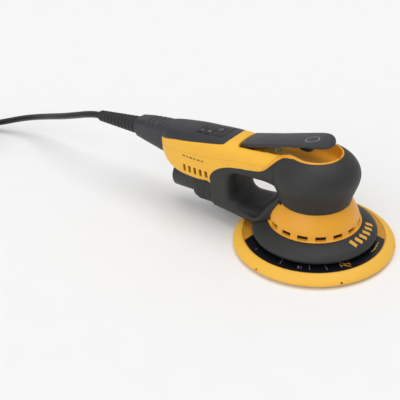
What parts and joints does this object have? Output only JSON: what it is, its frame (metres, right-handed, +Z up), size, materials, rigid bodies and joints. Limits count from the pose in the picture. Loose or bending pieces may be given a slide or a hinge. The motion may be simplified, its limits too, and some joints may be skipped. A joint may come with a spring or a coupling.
{
  "type": "orbital sander",
  "caption": "Electric random-orbit sander with a round hook pad, palm head, hinged paddle, keypad on the body, swivelling dust port and a corded connector.",
  "frame": {"origin": "on the motor axis, in the plane of the pad's working face", "axes": "+X towards the nose, away from the cord; +Y to the left; +Z up, out of the work"},
  "size_m": [0.6282, 0.2128, 0.107],
  "materials": {
    "pad_hook_layer": "napped hook pile",
    "pad_foam": "matt skinned foam",
    "pad_plate": "moulded, fine texture",
    "pad_label": "printed film",
    "pad_stud": "zinc plated",
    "spindle": "ground",
    "spindle_bearing_inner": "ground",
    "motor_shaft": "turned",
    "counterweight": "sintered",
    "spindle_bearing_outer": "ground",
    "motor_bearing_inner": "ground",
    "rotor_core": "stacked sheets",
    "rotor_magnets": "coated",
    "cooling_fan": "moulded",
    "motor_bearing_outer": "ground",
    "stator_core": "stacked sheets",
    "stator_windings": "enamelled copper wire",
    "motor_housing": "die cast",
    "end_bell": "die cast",
    "brake_seal": "moulded",
    "shroud": "moulded, fine texture",
    "neck_ring": "moulded, satin",
    "grip_shell": "soft-touch skin",
    "lever_tray": "moulded, satin",
    "upper_cover": "moulded, satin",
    "lower_housing": "moulded, satin",
    "control_panel": "moulded, satin",
    "keypad_frame": "satin",
    "status_lens": "clear",
    "dust_channel": "moulded",
    "control_board": "solder mask",
    "capacitors": "sleeved",
    "power_inlet": "moulded",
    "housing_screws": "zinc plated",
    "shroud_screws": "zinc plated",
    "lever_pin": "ground",
    "lever_spring": "drawn wire",
    "lever": "moulded, satin",
    "lever_magnet": "nickel plated",
    "power_button": "satin",
    "minus_button": "satin",
    "plus_button": "satin",
    "port_collar": "soft-touch skin",
    "hose_swivel": "moulded, satin",
    "swivel_seal": "moulded",
    "cable_connector": "moulded, fine texture",
    "strain_relief": "moulded",
    "power_cord": "sheath",
    "cord_coil": "sheath",
    "coil_tie": "woven",
    "cord_tail": "sheath",
    "plug_body": "moulded",
    "plug_pins": "nickel plated"
  },
  "bodies": {
    "housing": {"motor_bearing_outer": "motor_bearing_outer", "stator_core": "stator_core", "stator_windings": "stator_windings", "motor_housing": "motor_housing", "end_bell": "end_bell", "brake_seal": "brake_seal", "shroud": "shroud", "neck_ring": "neck_ring", "grip_shell": "grip_shell", "lever_tray": "lever_tray", "upper_cover": "upper_cover", "lower_housing": "lower_housing", "control_panel": "control_panel", "keypad_frame": "keypad_frame", "status_lens": "status_lens", "dust_channel": "dust_channel", "control_board": "control_board", "capacitors": "capacitors", "power_inlet": "power_inlet", "housing_screws": "housing_screws", "shroud_screws": "shroud_screws", "lever_pin": "lever_pin", "lever_spring": "lever_spring", "port_collar": "port_collar", "cable_connector": "cable_connector", "strain_relief": "strain_relief", "power_cord": "power_cord", "cord_coil": "cord_coil", "coil_tie": "coil_tie", "cord_tail": "cord_tail", "plug_body": "plug_body", "plug_pins": "plug_pins"},
    "rotor": {"motor_shaft": "motor_shaft", "counterweight": "counterweight", "spindle_bearing_outer": "spindle_bearing_outer", "motor_bearing_inner": "motor_bearing_inner", "rotor_core": "rotor_core", "rotor_magnets": "rotor_magnets", "cooling_fan": "cooling_fan"},
    "pad": {"pad_hook_layer": "pad_hook_layer", "pad_foam": "pad_foam", "pad_plate": "pad_plate", "pad_label": "pad_label", "pad_stud": "pad_stud", "spindle": "spindle", "spindle_bearing_inner": "spindle_bearing_inner"},
    "paddle": {"lever": "lever", "lever_magnet": "lever_magnet"},
    "dust_port": {"hose_swivel": "hose_swivel", "swivel_seal": "swivel_seal"},
    "power_key": {"power_button": "power_button"},
    "minus_key": {"minus_button": "minus_button"},
    "plus_key": {"plus_button": "plus_button"}
  },
  "joints": [
    {"name": "motor_spin", "type": "hinge", "parent": "housing", "child": "rotor", "pos_m": [0, 0, 0.045], "axis": [0, 0, 1], "continuous": true},
    {"name": "pad_spin", "type": "hinge", "parent": "rotor", "child": "pad", "pos_m": [-0.00177, 0.00177, 0.02], "axis": [0, 0, 1], "continuous": true},
    {"name": "paddle_press", "type": "hinge", "parent": "housing", "child": "paddle", "pos_m": [-0.064, 0, 0.0825], "axis": [0, 1, 0], "range_deg": [0, 7.5], "stiffness_Nm_per_rad": 1.2, "springref_deg": -5.73, "deforming": ["lever_spring"]},
    {"name": "power_press", "type": "slide", "parent": "housing", "child": "power_key", "axis": [0, 0, -1], "range_m": [0, 0.0008], "stiffness_N_per_m": 2500, "springref_m": -0.0004},
    {"name": "minus_press", "type": "slide", "parent": "housing", "child": "minus_key", "axis": [0, 0, -1], "range_m": [0, 0.0008], "stiffness_N_per_m": 2500, "springref_m": -0.0004},
    {"name": "plus_press", "type": "slide", "parent": "housing", "child": "plus_key", "axis": [0, 0, -1], "range_m": [0, 0.0008], "stiffness_N_per_m": 2500, "springref_m": -0.0004},
    {"name": "port_swivel", "type": "hinge", "parent": "housing", "child": "dust_port", "pos_m": [-0.13, 0, 0.031], "axis": [1, 0, 0], "continuous": true}
  ]
}
